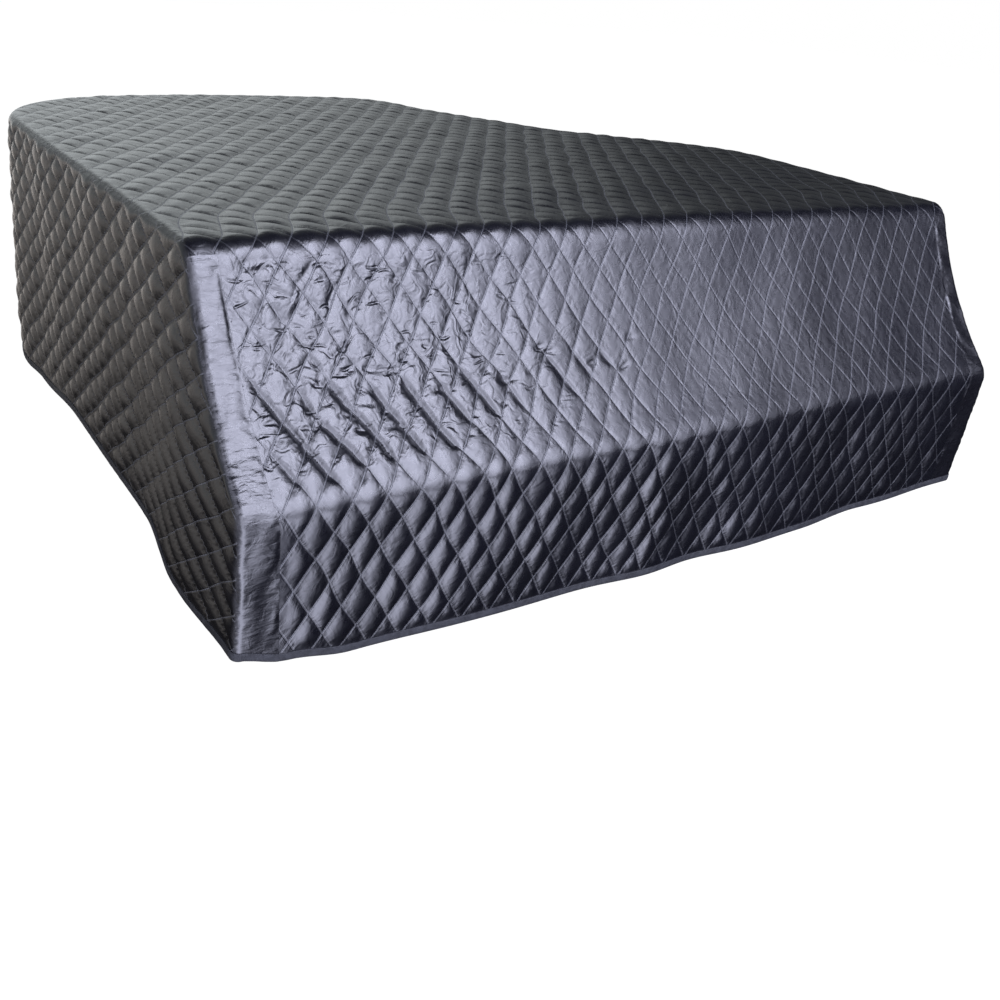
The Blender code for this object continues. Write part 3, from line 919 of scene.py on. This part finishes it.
def up_side(up):
    at = np.clip(side_stations, 0, AROUND)
    height = table(SIDE_HEM, at / AROUND) + up
    place = band_surface(np.stack([at + lean(at, height), height], 1))
    _, _, out_x, out_y = outline(at)
    normal = np.stack([out_x, out_y, 0 * out_x], 1)
    past = np.maximum(-side_stations, side_stations - AROUND)
    for way, beyond in ((-1, side_stations < 0), (1, side_stations > AROUND)):
        turn = math.pi / 2 - past[beyond] / EDGE_RADIUS
        place[beyond], normal[beyond] = corner_roll(way, turn, up)
    return place, normal


front_binding = channel("front_hem_tape", front_stations, up_front, 41)
side_binding = channel("side_hem_tape", side_stations, up_side, 43, order=-1)
print("tape faces:", len(front_binding.data.polygons), len(side_binding.data.polygons))

# %% [markdown]
# ## Finishes
#
# A finish is a small network of nodes.  Written out node by node it would be long and hard to
# read, so `Wire` wraps one output socket: sums on wires add maths nodes, and `node` adds any
# other kind.  Constants go straight onto the shader's own sockets.

# %% A wire between nodes
class Wire:
    """One output of a node in a tree."""

    def __init__(self, tree, socket=None):
        self.tree, self.socket = tree, socket

    def node(self, kind, settings=(), inputs=(), output=0):
        """A new node of this kind: its settings first, then its inputs by name or number."""
        made = self.tree.nodes.new(kind)
        for name, value in dict(settings).items():
            setattr(made, name, value)
        for name, value in dict(inputs).items():
            if isinstance(value, Wire):
                self.tree.links.new(value.socket, made.inputs[name])
            else:
                made.inputs[name].default_value = value
        return Wire(self.tree, made.outputs[output])

    def maths(self, operation, *others):
        values = enumerate((self, *others))
        return self.node("ShaderNodeMath", {"operation": operation}, values)

    def __add__(self, other):
        return self.maths("ADD", other)

    def __sub__(self, other):
        return self.maths("SUBTRACT", other)

    def __mul__(self, other):
        return self.maths("MULTIPLY", other)

    def __truediv__(self, other):
        return self.maths("DIVIDE", other)

    def __rsub__(self, other):
        return self * -1 + other

    __radd__, __rmul__ = __add__, __mul__

    def to_line(self):
        """How far a running count is from its nearest whole number, 0 to 0.5."""
        return self.maths("PINGPONG", 0.5)

    def ramp(self, low, high, at_low=0.0, at_high=1.0):
        """This wire eased from one value to another between low and high."""
        values = {"Value": self, 1: low, 2: high, 3: at_low, 4: at_high}
        return self.node("ShaderNodeMapRange", {"interpolation_type": "SMOOTHSTEP"}, values)

    def spread(self, scale, detail=2.0, roughness=0.5, distortion=0.0):
        """Noise over this wire taken as a place."""
        values = {"Vector": self, "Scale": scale, "Detail": detail}
        values |= {"Roughness": roughness, "Distortion": distortion}
        return self.node("ShaderNodeTexNoise", {"noise_dimensions": "2D"}, values)

    def cells(self, scale):
        """How far this wire, taken as a place, is from the nearest of many scattered points."""
        values = {"Vector": self, "Scale": scale}
        return self.node("ShaderNodeTexVoronoi", {"voronoi_dimensions": "2D"}, values)

    def place(self, y):
        return self.node("ShaderNodeCombineXYZ", inputs={"X": self, "Y": y})

    def parts(self):
        """The X, Y and Z of this wire taken as a place."""
        return [self.node("ShaderNodeSeparateXYZ", inputs={0: self}, output=k) for k in range(3)]

    def mix(self, colour, other):
        """Two colours mixed, this wire being the share of the second."""
        values = {"Factor": self, 6: colour, 7: other}
        return self.node("ShaderNodeMix", {"data_type": "RGBA"}, values, output=2)

    def bump(self, distance):
        """This wire, in shares of distance, as small relief."""
        return self.node("ShaderNodeBump", inputs={"Height": self, "Distance": distance})


def wire_to(shader, **wires):
    for socket, wire in wires.items():
        wire.tree.links.new(wire.socket, shader.inputs[socket.replace("_", " ")])


def finish(name, **fixed):
    """A new material and its shader, with constants on the shader's own sockets."""
    material = bpy.data.materials.new(name)
    material.use_nodes = True
    shader = material.node_tree.nodes["Principled BSDF"]
    for socket, value in fixed.items():
        shader.inputs[socket.replace("_", " ")].default_value = value
    return material, shader


def cloth_of(material):
    """The two flat directions of a material's cloth, in metres."""
    return Wire(material.node_tree).node("ShaderNodeUVMap", {"uv_map": "cloth"}).parts()[:2]


print("a wire knows", len([name for name in dir(Wire) if not name.startswith("__")]), "words")

# %% [markdown]
# ## Quilted satin
#
# The satin is a blue black with a soft, wide gloss.  Beside each stitch line the thread draws it
# into fine puckers that run away from the line.  The line itself is a narrow groove with short
# stitches in it, paler than the cloth: partly the thread's own grey, partly a painted highlight
# where the thread would catch the light, and on the front the falling lines get less of that
# painted highlight.  Broad, faint wrinkles lie over all, and the slack part of the slope is full
# of small nicks.  The stitch lines are worked out from the cloth's flat drawing with the same sums
# as the pillows, so the two always meet.

# %% Quilted satin
STITCH = 0.0036
PUCKER = 0.0075  # from one pucker to the next
THREAD = (0.0004, 0.0012)  # half the thread's width, with a soft edge
SATIN = dict(Roughness=0.3, IOR=1.8, Specular_IOR_Level=0.85)


def quilted_satin(name, diamond, falling, slack=None):
    material, shader = finish(name, Base_Color=(0.005, 0.005, 0.009, 1), **SATIN)
    x, y = cloth_of(material)
    start_x, start_y = diamond.start
    across, along = (x - start_x) / diamond.across, (y - start_y) / diamond.along
    p, q = across + along, across - along
    side = math.hypot(diamond.across, diamond.along) / 2
    from_p, from_q = (count.to_line() * line_spacing(diamond) for count in (p, q))
    puckers = [
        off.ramp(0.002, 0.015, 1.0, 0.0) * (along_it / PUCKER).place(own * 1.4).spread(1.0, 3.0)
        for off, own, along_it in ((from_p, p, q * side), (from_q, q, p * side))
    ]
    groove = from_p.maths("MINIMUM", from_q).ramp(0.0, 0.0022)
    # Where the thread lies.  On the front the falling lines are weighted down, so they get less of
    # the painted highlight in the base colour below.
    thread = from_p.ramp(*THREAD, falling, 0.0).maths("MAXIMUM", from_q.ramp(*THREAD, 1.0, 0.0))
    stitch_dash_and_glint = thread * ((p + q) * (side / STITCH)).to_line().ramp(0.05, 0.14)
    flat = x.place(y)
    relief = groove * 0.25 + (puckers[0] + puckers[1]) * 0.35 + stitch_dash_and_glint * 0.2
    relief = relief + flat.spread(38.0, 3.0, 0.55, 0.6) * 0.5 + flat.spread(700.0) * 0.03
    if slack:
        where = x.ramp(*slack.x, 1.0, 0.0) * y.ramp(*slack.low) * y.ramp(*slack.high, 1.0, 0.0)
        bent = y + flat.spread(22.0, 1.0) * 0.035
        near = (x * 0.36 + bent * 0.2).place(bent).cells(64.0)
        nicks = near.ramp(0.02, 0.31, 1.0, 0.0) * flat.spread(26.0, 1.0).ramp(0.40, 0.58)
        relief = relief - where * (nicks * 0.8 - flat.spread(55.0, 1.0, 0.5, 1.2) * 0.9)
    shade = flat.spread(5.0).ramp(0.3, 0.7)
    cloth = shade.mix((0.004, 0.0042, 0.008, 1), (0.0065, 0.0068, 0.012, 1))
    wire_to(
        shader,
        # Pale stitch dashes in the base colour: the thread's own grey plus a painted highlight
        # where the thread catches the light.
        Base_Color=(stitch_dash_and_glint * 0.8).mix(cloth, (0.12, 0.125, 0.14, 1)),
        Roughness=0.22 + 0.12 * flat.spread(60.0, 3.0) + 0.16 * thread,
        Normal=relief.bump(0.0016),
    )
    return material


Slack = namedtuple("Slack", "x low high")  # where the satin lies in many small nicks
front_slack = Slack((-0.50, -0.05), (-0.36, -0.30), (-0.06, -0.03))
front_satin = quilted_satin("front quilted satin", FRONT_DIAMOND, 0.35, front_slack)
top_and_front.data.materials.append(front_satin)
side_band.data.materials.append(quilted_satin("side quilted satin", SIDE_DIAMOND, 1.0))
print("stitches to a diamond's side:", round(math.hypot(*FRONT_DIAMOND[:2]) / 2 / STITCH, 1))

# %% [markdown]
# ## Plain satin and tape
#
# The strips are the same satin without wadding, so it creases more finely.  The tape is a grey
# ribbon with ribs across it, rough and a little uneven in colour, so it catches the light where
# the satin beside it stays dark.

# %% Plain satin and tape
RIBS = 0.0018  # from one rib of the tape to the next


def plain_satin(name):
    material, shader = finish(name, Base_Color=(0.006, 0.006, 0.010, 1), **SATIN)
    x, y = cloth_of(material)
    flat = x.place(y)
    ripples = (x * 0.3).place(y).spread(150.0, 3.0, 0.5, 0.3)
    creases = flat.spread(45.0, 3.0, 0.5, 1.0)
    wire_to(
        shader,
        Roughness=0.23 + 0.12 * flat.spread(80.0, 3.0),
        Normal=(ripples * 0.5 + creases * 0.35 + flat.spread(700.0) * 0.03).bump(0.0016),
    )
    return material


def ribbed_tape(name):
    material, shader = finish(
        name, Base_Color=(0.04, 0.041, 0.046, 1), Roughness=0.6, Specular_IOR_Level=0.4
    )
    x, y = cloth_of(material)
    flat = x.place(y)
    patchy = flat.spread(90.0, 3.0).ramp(0.25, 0.75)
    ribs = (x / RIBS).to_line() * 0.6
    wire_to(
        shader,
        Base_Color=patchy.mix((0.032, 0.033, 0.038, 1), (0.055, 0.057, 0.064, 1)),
        Roughness=0.50 + 0.12 * patchy,
        Normal=(ribs + flat.spread(120.0, 3.0) * 1.1).bump(0.0009),
    )
    return material


for piece in (bass_strip, treble_strip):
    piece.data.materials.append(plain_satin(piece.name.replace("_", " ")))
for piece in (front_binding, side_binding):
    piece.data.materials.append(ribbed_tape(piece.name.replace("_", " ")))
print("finishes:", ", ".join(material.name for material in bpy.data.materials if material.users))

# %% [markdown]
# ## What stands for what
#
# Each sheet replaces one solid of the model and moves with it.  The side band's drop along the
# cloth, from its top edge round the roll to the lowest hem, is worked out too.

# %% Pieces of the model
for piece, node, slot in (
    (top_and_front, "top_and_front", "quilted_satin"),
    (side_band, "side_band", "quilted_satin"),
    (bass_strip, "bass_strip", "plain_satin"),
    (treble_strip, "treble_strip", "plain_satin"),
    (front_binding, "front_binding", "binding_tape"),
    (side_binding, "side_binding", "binding_tape"),
):
    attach(piece, "root")
    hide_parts(node)
side_drop = BAND_TOP - min(knot.value for knot in SIDE_HEM)
side_drop += EDGE_RADIUS * (math.pi / 2 - SEAM_TURN)

# %% [markdown]
# ## Camera
#
# The camera stands before the bass end of the keyboard, a little above the lid, and looks down
# and to the right.

# %% Camera
HEADING, PITCH, ROLL = 34.119, -22.298, 5.275
data = bpy.data.cameras.new("camera")
data.lens, data.sensor_width = 38.951, 36.0
data.shift_x, data.shift_y = 0.0143, -0.0771
camera = placed("camera", data)
camera.location = (-1.1776, -1.9715, 0.3404)
turns = (0, 0, -HEADING), (90 + PITCH, 0, 0), (0, 0, ROLL)
about, down, tilt = (Euler([math.radians(v) for v in turn]).to_matrix() for turn in turns)
camera.rotation_euler = (about @ down @ tilt).to_euler()
bpy.context.scene.camera = camera
print("camera at", [round(v, 2) for v in camera.location])

# %% [markdown]
# ## Soft lights
#
# Black satin shows little but what it reflects.  A row of soft panels in front of the keyboard,
# dimmer towards both ends and near the floor, turns the slope pale.  One big light would do so
# too, but evenly from side to side.  Nothing hangs above, so the roll over the lid's edge stays
# dark.  Each panel is placed as it is seen from the slope: to the right of straight ahead by its
# azimuth, and between two heights.

# %% Soft lights
SLOPE = Vector((0, -0.75, -0.15))  # what the front lights are aimed at
LIGHT_DISTANCE = 4.2
LAVENDER = (0.77, 0.79, 1.0)


Panel = namedtuple("Panel", "azimuth half_width low high radiance")  # angles in degrees
PANELS = named(
    Panel,
    (-48, 12, -4, 35, 1.3), (-72, 11, 3, 38, 0.9), (-22, 14, 0, 56, 2.6),
    (4, 12, 2, 14, 2.8), (4, 12, 14, 60, 4.1), (26, 10, 5, 18, 1.5), (26, 10, 18, 60, 3.4),
    (44, 8, 8, 26, 0.95), (44, 8, 26, 60, 1.9), (59, 7, 8, 28, 0.3), (59, 7, 28, 58, 0.75),
)
for number, panel in enumerate(PANELS):
    middle, half_height = (panel.low + panel.high) / 2, (panel.high - panel.low) / 2
    angles = (panel.half_width, half_height, panel.azimuth, middle)
    half_width, half_height, across, up = (math.radians(angle) for angle in angles)
    width, tall = (2 * LIGHT_DISTANCE * math.tan(half) for half in (half_width, half_height))
    way = Vector((math.sin(across) * math.cos(up), -math.cos(across) * math.cos(up), math.sin(up)))
    data = bpy.data.lights.new(f"front light {number + 1}", "AREA")
    data.shape, data.size, data.size_y = "RECTANGLE", width, tall
    data.color, data.energy = LAVENDER, panel.radiance * math.pi * width * tall
    light = placed(data.name, data)
    light.location = SLOPE + LIGHT_DISTANCE * way
    light.rotation_euler = (-way).to_track_quat("-Z", "Y").to_euler()
    light.visible_camera = False
print("soft lights:", len(PANELS))

# %% [markdown]
# ## The room
#
# The lid is seen at a low angle and reflects the low part of the room behind it, pale straight
# behind and dark to the right.  A weak glow low in front gives each pillow of the hanging cloth
# one paler shoulder.  All of it is worked out from the direction alone, as three parts added up:
# `behind`, `before` and a faint rest.

# %% Room
world = bpy.data.worlds.new("room")
world.use_nodes = True
bpy.context.scene.world = world
room = Wire(world.node_tree)
east, north, height = room.node("ShaderNodeTexCoord", output="Generated").parts()
toward = 0.6 * north - 1.3 * east
behind = toward.ramp(-0.5, 0.45) * toward.ramp(0.5, 0.95, 1.05, 0.2)
behind = behind * height.ramp(0.35, 0.7, 1.0, 0.0) * height.ramp(-0.5, -0.12, 0.0, 1.95)
behind = behind * height.ramp(-0.1, 0.06, 1.0, 0.5)
before = (height * 1.5 - north - 4.5 * east).ramp(-2.3, 0.5)
before = before * north.ramp(-0.3, 0.2, 1.0, 0.0) * east.ramp(-0.75, -0.35, 0.1, 1.0)
below = height.ramp(-0.14, 0.02, 1.0, 0.0)
brightness = 0.02 + behind + below * 3.3 * before + (1 - below) * 0.07 * north.ramp(0.2, 0.5)
back_tone = height.ramp(-0.2, 0.05).mix((1.0, 0.93, 0.88, 1), (0.90, 0.96, 0.98, 1))
tone = north.ramp(-0.3, 0.3).mix((*LAVENDER, 1), back_tone)
seen = room.node("ShaderNodeBackground", inputs={"Color": tone, "Strength": brightness})
plain = room.node("ShaderNodeBackground", inputs={"Color": (1, 1, 1, 1)})
camera_ray = room.node("ShaderNodeLightPath", output="Is Camera Ray")
both = room.node("ShaderNodeMixShader", inputs={0: camera_ray, 1: seen, 2: plain})
wire_to(world.node_tree.nodes["World Output"], Surface=both)

print("nodes in the room:", len(world.node_tree.nodes))

# %% [markdown]
# ## The floor
#
# The cover hangs a little above a plain pale floor.  The floor is left out of reflections, which
# keeps the rest of the hanging cloth dark.

# %% Floor
FLOOR = -1.015
WIDE = 30.0
mesh = bpy.data.meshes.new("floor")
corners = [(-WIDE, -WIDE, FLOOR), (WIDE, -WIDE, FLOOR), (WIDE, WIDE, FLOOR), (-WIDE, WIDE, FLOOR)]
mesh.from_pydata(corners, [], [(0, 1, 2, 3)])
paper, _ = finish(
    "pale floor", Base_Color=(0.16, 0.16, 0.16, 1), Roughness=0.9, Specular_IOR_Level=0.1,
    Emission_Color=(1, 1, 1, 1), Emission_Strength=0.99,
)
mesh.materials.append(paper)
floor = placed("floor", mesh)
floor.visible_glossy = floor.visible_diffuse = False
bpy.context.scene.view_settings.view_transform = "Standard"
print("floor at", FLOOR, "m")

# %% [markdown]
# ## The size of the whole
#
# The sheets reach a little beyond the solid model, because the pillows stand out from the
# surface on which they are sewn.
